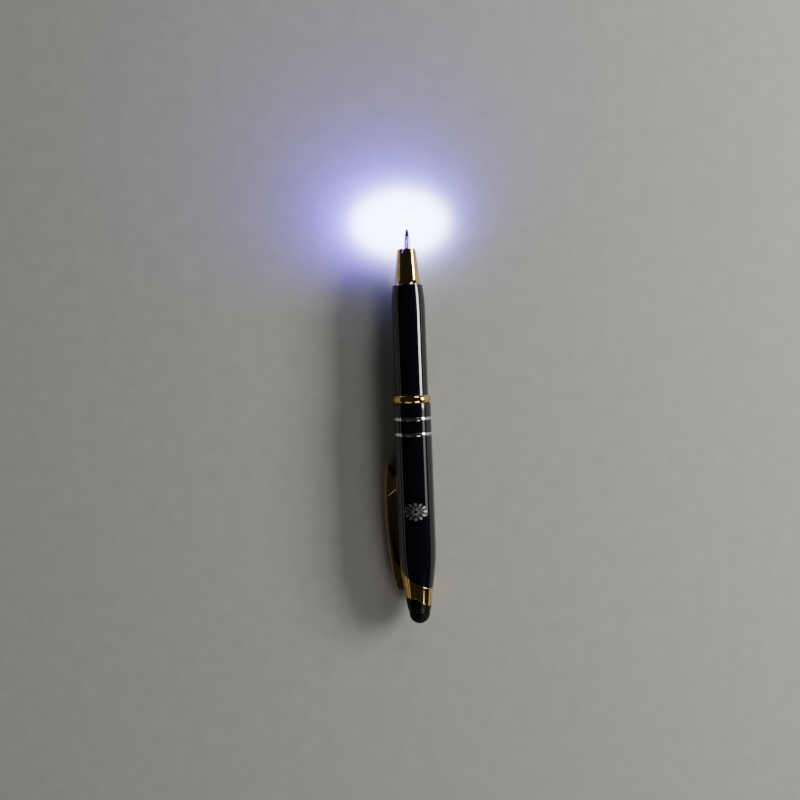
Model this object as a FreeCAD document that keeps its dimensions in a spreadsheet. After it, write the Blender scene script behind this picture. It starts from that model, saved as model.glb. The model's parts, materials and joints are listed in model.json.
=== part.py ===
import FreeCAD, Part
import math
import os
import re
import Sketcher

# Ultraviolet note-checking pen: twist-action ballpoint, lamp in the nose, stylus on the rear end.
# Every piece is drawn about its own +Z line. Station 0 is the end of the stylus dome and the
# station grows toward the writing tip. The finished pen lies along +Y, writing tip at +Y,
# resting on the centre ring and on one edge of the clip.

os.makedirs("parts", exist_ok=True)
doc = FreeCAD.newDocument("note_checking_pen")

# Name, millimetres (or degrees where said), and what it is. "_r" is a radius, "_z" a station.
SIZES = [
    ("pen_length", 138.0, "stylus dome to writing tip"),
    ("axis_side", 1.96, "pen axis from the middle of the part, sideways"),
    ("axis_height", 6.75, "pen axis above the table"),
    ("clip_lean", 27.5, "clip below the horizontal, degrees"),
    ("nose_tip_z", 131.0, "front face of the nose cone"),
    ("nose_lip_z", 130.75, "start of the nose cone's taper"),
    ("nose_lip_r", 3.2, "flat front rim of the nose cone"),
    ("nose_tip_r", 3.45, "nose cone at its front"),
    ("nose_waist_z", 121.9, "end of the nose cone's taper"),
    ("nose_waist_r", 4.15, "nose cone where the foot begins"),
    ("nose_foot_r", 4.8, "foot of the nose cone"),
    ("nose_flare_r", 7.0, "hollow curve of the nose foot"),
    ("barrel_front_z", 118.7, "front of the lower barrel"),
    ("guide_bore_r", 2.4, "bore for the light guide"),
    ("seat_r", 3.65, "bore for the lamp and the guide's flange"),
    ("seat_z", 120.3, "shoulder the guide's flange rests on"),
    ("spigot_r", 4.45, "threaded spigot of the nose cone"),
    ("spigot_z", 112.0, "rear end of the nose spigot"),
    ("guide_front_z", 130.5, "front face of the light guide"),
    ("guide_r", 2.37, "light guide"),
    ("guide_flange_r", 3.6, "flange of the light guide"),
    ("guide_rear_z", 118.3, "rear face of the light guide"),
    ("refill_offset", 0.45, "refill beside the pen axis"),
    ("refill_way_r", 1.3, "hole the refill slides through"),
    ("lamp_offset", 2.0, "lamp beside the pen axis"),
    ("lamp_pocket_r", 0.95, "pocket for the lamp in the guide"),
    ("lamp_pocket_z", 119.8, "bottom of the lamp pocket"),
    ("lamp_r", 0.9, "body of the miniature lamp"),
    ("lamp_dome_z", 118.7, "where the lamp's dome begins"),
    ("lamp_top_z", 119.6, "top of the lamp's dome"),
    ("lamp_flange_r", 1.1, "flange of the lamp"),
    ("lamp_flange_z", 115.4, "front of the lamp's flange"),
    ("lamp_base_z", 114.8, "rear of the lamp"),
    ("lead_r", 0.2, "lamp lead"),
    ("lead_reach", 1.8, "length of a lamp lead"),
    ("lead_half_gap", 0.6, "half the distance between the leads"),
    ("board_r", 3.6, "lamp board"),
    ("board_front_z", 114.7, "front of the lamp board"),
    ("board_rear_z", 113.7, "rear of the lamp board"),
    ("lead_hole_r", 0.3, "hole for a lead in the board"),
    ("chip_long", 1.6, "resistor length"),
    ("chip_wide", 0.8, "resistor width"),
    ("chip_high", 0.45, "resistor height"),
    ("chip_out", 1.5, "resistor beside the axis, upward"),
    ("lower_front_r", 5.2, "front edge of the lower barrel"),
    ("lower_r", 5.85, "straight part of the lower barrel"),
    ("lower_curve_z", 110.0, "end of the barrel's front curve"),
    ("lower_curve_r", 58.55, "radius of the barrel's front curve"),
    ("lower_bore_r", 5.0, "bore of the lower barrel"),
    ("nose_bore_r", 4.5, "bore for the nose spigot"),
    ("ring_front_z", 80.7, "front face of the centre ring"),
    ("ring_rear_z", 77.9, "rear face of the centre ring"),
    ("ring_edge_r", 6.15, "edges of the centre ring"),
    ("ring_crown_r", 1.9333, "rounding of the centre ring"),
    ("ring_seat_r", 5.45, "bore of the centre ring"),
    ("snap_groove_front_z", 89.8, "snap ring groove, front wall"),
    ("snap_groove_rear_z", 88.9, "snap ring groove, rear wall"),
    ("snap_groove_r", 5.3, "snap ring groove in the barrel"),
    ("snap_front_z", 89.7, "snap ring, front face"),
    ("snap_rear_z", 89.0, "snap ring, rear face"),
    ("snap_in_r", 4.6, "snap ring, inside"),
    ("snap_out_r", 5.25, "snap ring, outside"),
    ("snap_gap", 1.6, "opening in the snap ring"),
    ("liner_r", 4.97, "lower liner, outside"),
    ("liner_bore_r", 3.25, "lower liner, inside"),
    ("liner_front_z", 111.9, "front of the lower liner"),
    ("sleeve_front_z", 93.2, "front of the guide sleeve"),
    ("flange_rear_z", 91.3, "rear of the sleeve's flange"),
    ("flange_r", 4.93, "sleeve's flange"),
    ("sleeve_r", 3.2, "guide sleeve, outside"),
    ("sleeve_bore_r", 2.3, "guide sleeve, inside"),
    ("sleeve_wall_z", 91.0, "spring seat inside the guide sleeve"),
    ("sleeve_rear_z", 51.0, "rear of the guide sleeve"),
    ("track_front_z", 69.9, "straight pin track, front end"),
    ("track_rear_z", 60.6, "straight pin track, rear end"),
    ("track_wide", 1.3, "straight pin track, width"),
    ("strip_in_r", 2.95, "contact strip, underside"),
    ("strip_thick", 0.15, "contact strip, thickness"),
    ("strip_wide", 1.2, "contact strip, width"),
    ("strip_front_z", 113.7, "contact strips end at the lamp board"),
    ("strip_groove_in_r", 2.93, "bottom of a strip groove"),
    ("strip_groove_out_r", 3.3, "top of a strip groove"),
    ("strip_groove_wide", 1.3, "width of a strip groove"),
    ("disc_rear_z", 50.0, "rear of the contact disc"),
    ("disc_r", 4.0, "contact disc"),
    ("disc_hole_r", 0.6, "hole in the contact disc"),
    ("ball_r", 0.35, "writing ball"),
    ("point_r", 0.42, "socket round the ball"),
    ("point_front_z", 137.75, "rim of the socket"),
    ("point_cone_z", 135.6, "end of the fine point"),
    ("point_cone_r", 0.8, "end of the fine point"),
    ("point_body_z", 134.2, "refill tip where it meets the tube"),
    ("tube_r", 1.15, "refill tube, outside"),
    ("tube_bore_r", 0.85, "refill tube, inside"),
    ("tube_front_z", 132.6, "front of the refill tube"),
    ("tube_rear_z", 71.0, "rear of the refill tube"),
    ("point_plug_z", 130.2, "rear of the refill tip's plug"),
    ("point_channel_r", 0.3, "ink channel in the refill tip"),
    ("ball_seat_z", 137.3, "where the ink channel meets the ball"),
    ("ink_front_z", 130.2, "front of the ink"),
    ("ink_rear_z", 84.0, "rear of the ink"),
    ("follower_rear_z", 81.5, "rear of the grease plug behind the ink"),
    ("carrier_r", 2.25, "refill carrier"),
    ("carrier_front_z", 75.0, "front of the refill carrier"),
    ("carrier_rear_z", 61.0, "rear of the refill carrier"),
    ("carrier_bore_r", 1.16, "refill socket in the carrier"),
    ("pin_z", 69.0, "cam pin, writing tip out"),
    ("pin_r", 0.6, "cam pin"),
    ("pin_in", 0.95, "inner end of the cam pin"),
    ("pin_out", 4.15, "outer end of the cam pin"),
    ("stroke", 7.5, "travel of the refill"),
    ("cam_slot_half", 0.68, "half the width of the spiral slot, and its run past the pin"),
    ("cutter_past", 1.0, "how far a cutter stands out of the wall it cuts"),
    ("rotor_r", 4.2, "rotor tube, outside"),
    ("rotor_bore_r", 3.25, "rotor tube, inside"),
    ("rotor_rear_z", 51.5, "rear of the rotor tube"),
    ("rotor_front_z", 77.0, "front of the rotor tube"),
    ("coupler_front_z", 91.0, "front of the coupler"),
    ("coupler_rear_z", 73.0, "rear of the coupler"),
    ("coupler_r", 4.95, "coupler inside the lower barrel"),
    ("collar_r", 5.62, "coupler's collar inside the upper barrel"),
    ("collar_front_z", 77.85, "front of the collar"),
    ("coupler_bore_r", 3.3, "bore of the coupler"),
    ("seal_groove_front_z", 76.05, "seal groove, front wall"),
    ("seal_groove_rear_z", 74.95, "seal groove, rear wall"),
    ("seal_groove_r", 4.74, "seal groove, bottom"),
    ("seal_mid_z", 75.5, "seal ring"),
    ("seal_ring_r", 5.21, "seal ring, to the middle of the cord"),
    ("seal_cord_r", 0.47, "seal ring, cord"),
    ("snap_seat_front_z", 89.75, "snap ring seat on the coupler, front"),
    ("snap_seat_rear_z", 88.95, "snap ring seat on the coupler, rear"),
    ("spring_mean_r", 2.0, "return spring, to the middle of the wire"),
    ("spring_wire_r", 0.2, "return spring wire"),
    ("spring_pitch", 1.56, "return spring pitch"),
    ("spring_start_z", 75.2, "return spring, first coil"),
    ("spring_high", 15.6, "return spring height between coil ends"),
    ("upper_front_z", 77.85, "front of the upper barrel"),
    ("upper_r", 6.62, "upper barrel at its widest"),
    ("upper_turn_z", 28.0, "upper barrel, start of the rear curve"),
    ("upper_turn_r", 70.28, "radius of the rear curve"),
    ("upper_cone_z", 18.5, "upper barrel, end of the rear curve"),
    ("upper_cone_r", 5.975, "upper barrel, start of the rear cone"),
    ("cone_end_z", 4.0, "where the rear cone is cut off"),
    ("cone_end_r", 4.0175, "rear cone where it is cut off"),
    ("upper_bore_r", 5.7, "bore of the upper barrel"),
    ("upper_step_z", 23.0, "shoulder in the upper barrel"),
    ("upper_rear_bore_r", 4.4, "bore for the end cap's spigot"),
    ("barrel_tail_z", 12.0, "upper barrel is turned from here"),
    ("barrel_tail_r", 5.0975, "upper barrel where it is turned from"),
    ("slant_reach", 8.0, "distance from the axis where the slants are measured"),
    ("slant_high_z", 21.8, "slanted joint of barrel and end cap, clip side"),
    ("slant_low_z", 11.32, "slanted joint of barrel and end cap, far side"),
    ("tail_z", 9.85, "rear edge of the end cap on the clip side"),
    ("tail_knee", 0.6, "where the rear edge starts to fall, past the axis"),
    ("tail_knee_curve", 2.5, "rounding where it starts to fall"),
    ("tail_fall", 2.54, "end of that rounding, past the axis"),
    ("tail_fall_z", 8.92, "end of that rounding"),
    ("tail_far", 6.54, "where the falling part is measured, past the axis"),
    ("tail_far_z", 4.0, "falling part of the rear edge where it is measured"),
    ("beyond_z", 2.0, "behind the end cap"),
    ("ahead_z", 40.0, "well ahead of the slanted joint"),
    ("cut_wide", 20.0, "width of a cut across the whole pen"),
    ("trim_front_z", 73.15, "front trim ring, front face"),
    ("trim_rear_z", 72.15, "front trim ring, rear face"),
    ("trim_step", 5.35, "distance between the trim rings"),
    ("trim_seat_r", 6.15, "bottom of a trim ring groove"),
    ("trim_edge_r", 6.6, "edges of a trim ring"),
    ("trim_crown_r", 1.6, "rounding of a trim ring"),
    ("bush_bore_r", 4.22, "bush round the rotor tube, inside"),
    ("bush_r", 5.69, "bush, outside"),
    ("bush_front_z", 71.0, "front of the bush"),
    ("bush_rear_z", 55.0, "rear of the bush"),
    ("holder_front_z", 49.4, "front of the contact holder"),
    ("holder_rear_z", 45.4, "rear of the contact holder"),
    ("holder_bore_r", 0.85, "hole for the wiper post"),
    ("post_r", 0.8, "wiper post"),
    ("post_front_z", 49.95, "end of the wiper post"),
    ("plate_r", 3.8, "battery contact plate"),
    ("plate_rear_z", 45.0, "contact plate on the front cell"),
    ("tray_bore_r", 4.0, "battery tray, inside"),
    ("tray_rear_z", 27.0, "rear of the battery tray"),
    ("cell_r", 3.95, "button cell"),
    ("cell_high", 3.6, "button cell thickness"),
    ("cell_rim_r", 3.1, "cap of a button cell"),
    ("cell_step", 0.5, "height of a cell's cap"),
    ("battery_spring_r", 2.9, "battery spring, to the middle of the wire"),
    ("battery_spring_pitch", 1.65, "battery spring pitch"),
    ("battery_spring_high", 6.6, "battery spring height between coil ends"),
    ("battery_wire_r", 0.25, "battery spring wire"),
    ("battery_spring_z", 27.28, "battery spring, first coil"),
    ("cap_spigot_r", 4.38, "end cap spigot"),
    ("cap_spigot_z", 27.0, "front of the end cap spigot"),
    ("cap_skirt_z", 23.2, "end cap's skin is turned from here"),
    ("cap_skirt_r", 6.456, "end cap's skin where it is turned from"),
    ("cap_bore_r", 3.45, "bore for the stylus collar"),
    ("cap_bore_z", 10.9, "bottom of that bore"),
    ("clip_slot_front_z", 16.8, "clip slot in the end cap, front"),
    ("clip_slot_rear_z", 11.2, "clip slot in the end cap, rear"),
    ("clip_slot_in_r", 3.65, "bottom of the clip slot"),
    ("clip_slot_out_r", 7.0, "clip slot, open side"),
    ("clip_slot_wide", 4.0, "width of the clip slot"),
    ("stylus_spigot_r", 3.4, "spigot of the stylus collar"),
    ("stylus_spigot_z", 10.8, "front of that spigot"),
    ("stylus_top_r", 4.88, "stylus collar, turned from here"),
    ("stylus_low_z", 6.2, "stylus collar, end of its taper"),
    ("stylus_low_r", 4.25, "stylus collar, end of its taper"),
    ("stylus_rear_z", 4.3, "rear of the stylus collar"),
    ("stylus_rear_r", 3.78, "stylus collar at its rear"),
    ("peg_r", 2.58, "peg inside the rubber dome"),
    ("peg_z", 3.2, "end of the peg"),
    ("core_r", 0.8, "metal core of the stylus"),
    ("core_front_z", 10.0, "front of the core"),
    ("core_rear_z", 2.2, "rear of the core"),
    ("dome_r", 3.6, "rubber dome"),
    ("dome_mid_z", 3.6, "where the dome turns round"),
    ("dome_bore_r", 2.6, "hollow of the dome"),
    ("dome_skin_z", 1.0, "bottom of the hollow"),
    ("clip_wide", 3.6, "clip width"),
    ("clip_half", 1.8, "half the clip's width"),
    ("clip_tip_z", 56.5, "clip, front end"),
    ("clip_tip_r", 10.15, "clip's outer line at the front end"),
    ("clip_out_r", 11.1, "clip's outer line at its furthest"),
    ("clip_mid_z", 42.0, "where the clip is furthest out"),
    ("clip_front_curve", 111.2, "clip, front curve of the outer line"),
    ("clip_rear_curve", 155.4, "clip, rear curve of the outer line"),
    ("clip_bend_r", 9.25, "clip's outer line, end of the curve"),
    ("clip_bend_z", 18.1, "clip's outer line, end of the curve"),
    ("clip_heel_r", 8.1, "clip's outer line at the heel"),
    ("clip_heel_z", 12.9, "clip's outer line at the heel"),
    ("clip_heel_curve", 1.3, "rounding of the heel"),
    ("clip_back_r", 6.9, "rear face of the heel"),
    ("clip_back_z", 11.6, "rear end of the clip"),
    ("tongue_r", 3.95, "inner end of the clip's tongue"),
    ("tongue_rear_z", 11.6, "rear of the tongue"),
    ("tongue_front_z", 16.3, "front of the tongue"),
    ("root_r", 5.9, "clip's inner line at the root"),
    ("root_curve", 14.0, "hollow curve of the root"),
    ("inner_bend_r", 8.4, "clip's inner line, end of the root"),
    ("inner_bend_z", 22.5, "clip's inner line, end of the root"),
    ("inner_rear_curve", 152.8, "clip's inner line, rear curve"),
    ("inner_mid_r", 9.65, "clip's inner line at its furthest"),
    ("inner_end_z", 45.0, "clip's inner line where the foot pad starts"),
    ("pad_rear_z", 47.4, "foot pad, rear end"),
    ("pad_front_z", 51.5, "foot pad, front end"),
    ("pad_r", 6.66, "foot pad beside the barrel"),
    ("pad_curve", 6.6, "curve from the foot pad to the tip"),
    ("lip_r", 9.75, "clip's inner line at the tip"),
    ("lip_z", 56.25, "clip's inner line at the tip"),
    ("tip_taper_z", 48.5, "where the clip starts to narrow"),
    ("tip_half", 0.55, "half the clip's width at the tip"),
    ("tip_side_curve", 16.0, "side curve of the clip's tip"),
    ("tip_past_z", 58.0, "beyond the tip"),
    ("clip_reach", 26.0, "width of the cuts that shape the clip's tip"),
    ("tip_past", 3.0, "beyond the side of the clip"),
]
size = {name: value for name, value, note in SIZES}

sheet = doc.addObject("Spreadsheet::Sheet", "Dims")
for row, (name, value, note) in enumerate(SIZES, start=1):
    sheet.set(f"A{row}", note)
    sheet.set(f"B{row}", str(value))
    sheet.setAlias(f"B{row}", name)
doc.recompute()

AXIS = "0"
quarter_turn = 90
half_turn = 180
full_turn = 360
TERM = re.compile(r"([-+]?)\s*([a-z_]+)")


def total(text):
    """The value of a sum of named sizes, such as "ring_rear_z + trim_step"."""
    return sum(-size[word] if sign == "-" else size[word] for sign, word in TERM.findall(text))


def bound(text):
    """The same sum written for the sheet."""
    return TERM.sub(lambda term: f"{term.group(1)} Dims.{term.group(2)}", text)


# Where the pieces go: along +Y at the height of the pen axis.
half_length = size["pen_length"] / 2
pen_line = FreeCAD.Placement(
    FreeCAD.Vector(size["axis_side"], -half_length, size["axis_height"]),
    FreeCAD.Rotation(FreeCAD.Vector(1, 0, 0), -quarter_turn),
)
refill_line = pen_line.multiply(
    FreeCAD.Placement(FreeCAD.Vector(size["refill_offset"], 0, 0), FreeCAD.Rotation())
)
lamp_line = pen_line.multiply(
    FreeCAD.Placement(FreeCAD.Vector(-size["lamp_offset"], 0, 0), FreeCAD.Rotation())
)
clip_line = pen_line.multiply(
    FreeCAD.Placement(
        FreeCAD.Vector(),
        FreeCAD.Rotation(FreeCAD.Vector(0, 0, 1), half_turn - size["clip_lean"]),
    )
)

pieces = []


def piece(thing, label, line):
    """Gives a finished object its name and place, and keeps it for the export."""
    thing.Label = label
    thing.Placement = line
    pieces.append(thing)
    return thing


def origin_plane(body, role):
    return next(plane for plane in body.Origin.OriginFeatures if plane.Role == role)


def arc_between(start, end, radius, side):
    """An arc between two points; side +1 bulges to the right of the way from start to end."""
    chord = end - start
    half = chord.Length / 2
    depth = math.sqrt(max(radius * radius - half * half, 0))
    left = FreeCAD.Vector(-chord.y, chord.x, 0).normalize()
    centre = (start + end) * 0.5 + left * (depth * side)
    first, last = (start, end) if side > 0 else (end, start)
    from_angle = math.atan2(first.y - centre.y, first.x - centre.x)
    to_angle = math.atan2(last.y - centre.y, last.x - centre.x)
    if to_angle < from_angle:
        to_angle += 2 * math.pi
    circle = Part.Circle(centre, FreeCAD.Vector(0, 0, 1), radius)
    return Part.ArcOfCircle(circle, from_angle, to_angle)


def outline(body, role, corners, arcs=None):
    """A closed sketch through the corners; arcs maps an edge's number to (radius, side)."""
    arcs = arcs or {}
    sketch = body.newObject("Sketcher::SketchObject", body.Name + "_outline")
    sketch.AttachmentSupport = [(origin_plane(body, role), "")]
    sketch.MapMode = "FlatFace"
    points = [
        FreeCAD.Vector(0 if x == AXIS else total(x), 0 if y == AXIS else total(y), 0)
        for x, y in corners
    ]
    count = len(points)
    starts = []
    ends = []
    for edge, start in enumerate(points):
        end = points[(edge + 1) % count]
        if edge in arcs:
            radius, side = arcs[edge]
            sketch.addGeometry(arc_between(start, end, total(radius), side), False)
            starts.append(1 if side > 0 else 2)
            ends.append(2 if side > 0 else 1)
        else:
            sketch.addGeometry(Part.LineSegment(start, end), False)
            starts.append(1)
            ends.append(2)
    for edge, (x, y) in enumerate(corners):
        before = (edge - 1) % count
        sketch.addConstraint(
            Sketcher.Constraint("Coincident", before, ends[before], edge, starts[edge])
        )
        for kind, text, line in (("DistanceX", x, -2), ("DistanceY", y, -1)):
            if text == AXIS:
                sketch.addConstraint(
                    Sketcher.Constraint("PointOnObject", edge, starts[edge], line)
                )
            else:
                number = sketch.addConstraint(
                    Sketcher.Constraint(kind, -1, 1, edge, starts[edge], total(text))
                )
                sketch.setExpression(f"Constraints[{number}]", bound(text))
    for edge, (radius, side) in arcs.items():
        number = sketch.addConstraint(Sketcher.Constraint("Radius", edge, total(radius)))
        sketch.setExpression(f"Constraints[{number}]", bound(radius))
    return sketch


def new_body(label):
    return doc.addObject("PartDesign::Body", label)


def turn(body, corners, arcs=None, cut=False):
    """Adds or removes a turned shape: corners are (radius, station)."""
    sketch = outline(body, "XZ_Plane", corners, arcs)
    kind = "PartDesign::Groove" if cut else "PartDesign::Revolution"
    feature = body.newObject(kind, body.Name + "_turn")
    feature.Profile = sketch
    feature.ReferenceAxis = (sketch, ["V_Axis"])
    feature.Angle = full_turn
    doc.recompute()
    return feature


def across(body, corners, wide, arcs=None, cut=True, role="XZ_Plane"):
    """Cuts or adds a slab of the given width, half on each side of the sketch."""
    before = body.Shape.Volume if cut else 0
    sketch = outline(body, role, corners, arcs)
    kind = "PartDesign::Pocket" if cut else "PartDesign::Pad"
    feature = body.newObject(kind, body.Name + "_slab")
    feature.Profile = sketch
    feature.SideType = "Symmetric"
    feature.setExpression("Length", bound(wide))
    doc.recompute()
    if cut and not body.Shape.Volume < before:
        raise ValueError(f"a cut in {body.Name} removes nothing")
    return feature


def bore(body, side, radius, rear, front, sign=1):
    """A round hole beside the axis, from one station forward to another."""
    before = body.Shape.Volume
    sketch = body.newObject("Sketcher::SketchObject", body.Name + "_bore")
    sketch.AttachmentSupport = [(origin_plane(body, "XY_Plane"), "")]
    sketch.MapMode = "FlatFace"
    sketch.setExpression("AttachmentOffset.Base.z", bound(rear))
    reach = 0 if side == AXIS else total(side)
    centre = FreeCAD.Vector(sign * reach, 0, 0)
    sketch.addGeometry(Part.Circle(centre, FreeCAD.Vector(0, 0, 1), total(radius)), False)
    number = sketch.addConstraint(Sketcher.Constraint("Radius", 0, total(radius)))
    sketch.setExpression(f"Constraints[{number}]", bound(radius))
    sketch.addConstraint(Sketcher.Constraint("PointOnObject", 0, 3, -1))
    if side == AXIS:
        sketch.addConstraint(Sketcher.Constraint("PointOnObject", 0, 3, -2))
    else:
        pair = (-1, 1, 0, 3) if sign > 0 else (0, 3, -1, 1)
        number = sketch.addConstraint(Sketcher.Constraint("DistanceX", *pair, reach))
        sketch.setExpression(f"Constraints[{number}]", bound(side))
    pocket = body.newObject("PartDesign::Pocket", body.Name + "_hole")
    pocket.Profile = sketch
    pocket.Reversed = True
    pocket.setExpression("Length", bound(f"{front} - {rear}"))
    doc.recompute()
    if not body.Shape.Volume < before:
        raise ValueError(f"a hole in {body.Name} removes nothing")
    return pocket


def tube(inner, outer, rear, front):
    """The four corners of a plain tube, or of a rod where the inner radius is the axis."""
    return [(inner, rear), (outer, rear), (outer, front), (inner, front)]


def turned(label, corners, arcs=None, line=pen_line):
    body = new_body(label)
    turn(body, corners, arcs)
    return piece(body, label, line)


def rod(name, radius, height, place):
    """A plain cylinder for the booleans, its sizes tied to the sheet."""
    cylinder = doc.addObject("Part::Cylinder", name)
    cylinder.setExpression("Radius", bound(radius))
    cylinder.setExpression("Height", bound(height))
    cylinder.Placement = place
    return cylinder


def block(name, long, wide, high, place):
    box = doc.addObject("Part::Box", name)
    box.setExpression("Length", bound(long))
    box.setExpression("Width", bound(wide))
    box.setExpression("Height", bound(high))
    box.Placement = place
    return box


def at(x=0.0, y=0.0, z=0.0, turned_about=None, degrees=0.0):
    axis = turned_about or FreeCAD.Vector(0, 0, 1)
    return FreeCAD.Placement(FreeCAD.Vector(x, y, z), FreeCAD.Rotation(axis, degrees))


def joined(label, parts, line):
    fuse = doc.addObject("Part::MultiFuse", label)
    fuse.Shapes = parts
    return piece(fuse, label, line)


def coil(label, mean, wire, pitch, high, start, line=pen_line):
    """A round-wire spring: a circle swept along a helix."""
    helix = doc.addObject("Part::Helix", label + "_helix")
    helix.setExpression("Radius", bound(mean))
    helix.setExpression("Pitch", bound(pitch))
    helix.setExpression("Height", bound(high))
    helix.Placement = at(z=total(start))
    ring = doc.addObject("Part::Circle", label + "_wire")
    ring.setExpression("Radius", bound(wire))
    ring.Placement = at(
        x=total(mean), z=total(start), turned_about=FreeCAD.Vector(1, 0, 0), degrees=quarter_turn
    )
    doc.recompute()
    sweep = doc.addObject("Part::Sweep", label)
    sweep.Sections = [ring]
    sweep.Spine = (helix, ["Edge1"])
    sweep.Solid = True
    sweep.Frenet = True
    return piece(sweep, label, line)


# Nose: a plated cone that holds the light guide and the lamp.
turned(
    "nose_cone",
    [
        ("guide_bore_r", "nose_tip_z"),
        ("nose_lip_r", "nose_tip_z"),
        ("nose_tip_r", "nose_lip_z"),
        ("nose_waist_r", "nose_waist_z"),
        ("nose_foot_r", "barrel_front_z"),
        ("spigot_r", "barrel_front_z"),
        ("spigot_r", "spigot_z"),
        ("seat_r", "spigot_z"),
        ("seat_r", "seat_z"),
        ("guide_bore_r", "seat_z"),
    ],
    arcs={3: ("nose_flare_r", 1)},
)

light_guide = turned(
    "light_guide",
    [
        (AXIS, "guide_rear_z"),
        ("guide_flange_r", "guide_rear_z"),
        ("guide_flange_r", "seat_z"),
        ("guide_r", "seat_z"),
        ("guide_r", "guide_front_z"),
        (AXIS, "guide_front_z"),
    ],
)
bore(light_guide, "refill_offset", "refill_way_r", "guide_rear_z", "guide_front_z")
bore(light_guide, "lamp_offset", "lamp_pocket_r", "guide_rear_z", "lamp_pocket_z", sign=-1)

turned(
    "uv_lamp",
    [
        (AXIS, "lamp_base_z"),
        ("lamp_flange_r", "lamp_base_z"),
        ("lamp_flange_r", "lamp_flange_z"),
        ("lamp_r", "lamp_flange_z"),
        ("lamp_r", "lamp_dome_z"),
        (AXIS, "lamp_top_z"),
    ],
    arcs={4: ("lamp_r", 1)},
    line=lamp_line,
)

lead_foot = size["lamp_base_z"] - size["lead_reach"]
joined(
    "lamp_leads",
    [
        rod(f"lead_{side}", "lead_r", "lead_reach", at(y=way * size["lead_half_gap"], z=lead_foot))
        for side, way in (("up", -1), ("down", 1))
    ],
    lamp_line,
)

lamp_board = turned("lamp_board", tube(AXIS, "board_r", "board_rear_z", "board_front_z"))
bore(lamp_board, "refill_offset", "refill_way_r", "board_rear_z", "board_front_z")
across(
    lamp_board,
    [
        ("- lamp_offset - lead_hole_r", "board_rear_z"),
        ("- lamp_offset + lead_hole_r", "board_rear_z"),
        ("- lamp_offset + lead_hole_r", "board_front_z"),
        ("- lamp_offset - lead_hole_r", "board_front_z"),
    ],
    "lead_half_gap + lead_half_gap + lead_hole_r + lead_hole_r",
)

piece(
    block("resistor", "chip_long", "chip_wide", "chip_high", at()),
    "lamp_resistor",
    pen_line.multiply(
        at(
            x=-size["chip_long"] / 2,
            y=-size["chip_out"] - size["chip_wide"],
            z=size["board_rear_z"] - size["chip_high"],
        )
    ),
)

# Lower barrel and what is fixed inside it.
lower_barrel = turned(
    "lower_barrel",
    [
        ("nose_bore_r", "barrel_front_z"),
        ("lower_front_r", "barrel_front_z"),
        ("lower_r", "lower_curve_z"),
        ("lower_r", "ring_front_z"),
        ("ring_seat_r", "ring_front_z"),
        ("ring_seat_r", "ring_rear_z"),
        ("lower_bore_r", "ring_rear_z"),
        ("lower_bore_r", "spigot_z"),
        ("nose_bore_r", "spigot_z"),
    ],
    arcs={1: ("lower_curve_r", -1)},
)
turn(
    lower_barrel,
    tube(AXIS, "snap_groove_r", "snap_groove_rear_z", "snap_groove_front_z"),
    cut=True,
)

turned(
    "centre_ring",
    [
        ("ring_seat_r", "ring_rear_z"),
        ("ring_edge_r", "ring_rear_z"),
        ("ring_edge_r", "ring_front_z"),
        ("ring_seat_r", "ring_front_z"),
    ],
    arcs={1: ("ring_crown_r", 1)},
)

turned("lower_liner", tube("liner_bore_r", "liner_r", "sleeve_front_z", "liner_front_z"))

# Guide sleeve: holds the refill carrier straight while the rotor turns round it.
guide_sleeve = turned(
    "guide_sleeve",
    [
        (AXIS, "sleeve_front_z"),
        (AXIS, "sleeve_wall_z"),
        ("sleeve_bore_r", "sleeve_wall_z"),
        ("sleeve_bore_r", "sleeve_rear_z"),
        ("sleeve_r", "sleeve_rear_z"),
        ("sleeve_r", "flange_rear_z"),
        ("flange_r", "flange_rear_z"),
        ("flange_r", "sleeve_front_z"),
    ],
)
bore(guide_sleeve, "refill_offset", "refill_way_r", "sleeve_wall_z", "sleeve_front_z")
across(
    guide_sleeve,
    [
        ("carrier_bore_r", "track_rear_z"),
        ("liner_r", "track_rear_z"),
        ("liner_r", "track_front_z"),
        ("carrier_bore_r", "track_front_z"),
    ],
    "track_wide",
)
for way in ("", "- "):
    across(
        guide_sleeve,
        [
            (way + "strip_groove_in_r", "sleeve_rear_z"),
            (way + "strip_groove_out_r", "sleeve_rear_z"),
            (way + "strip_groove_out_r", "sleeve_front_z"),
            (way + "strip_groove_in_r", "sleeve_front_z"),
        ],
        "strip_groove_wide",
        role="YZ_Plane",
    )

half_strip = size["strip_wide"] / 2
strip_out = size["strip_in_r"] + size["strip_thick"]
joined(
    "contact_strips",
    [
        block(
            f"strip_{side}",
            "strip_wide",
            "strip_thick",
            "strip_front_z - sleeve_rear_z",
            at(x=-half_strip, y=near, z=size["sleeve_rear_z"]),
        )
        for side, near in (("down", size["strip_in_r"]), ("up", -strip_out))
    ],
    pen_line,
)

turned("contact_disc", tube("disc_hole_r", "disc_r", "disc_rear_z", "sleeve_rear_z"))

# Refill with its carrier: slides without turning.
ball = doc.addObject("Part::Sphere", "ball")
ball.setExpression("Radius", bound("ball_r"))
piece(
    ball,
    "writing_ball",
    refill_line.multiply(at(z=size["pen_length"] - size["ball_r"])),
)

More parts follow.
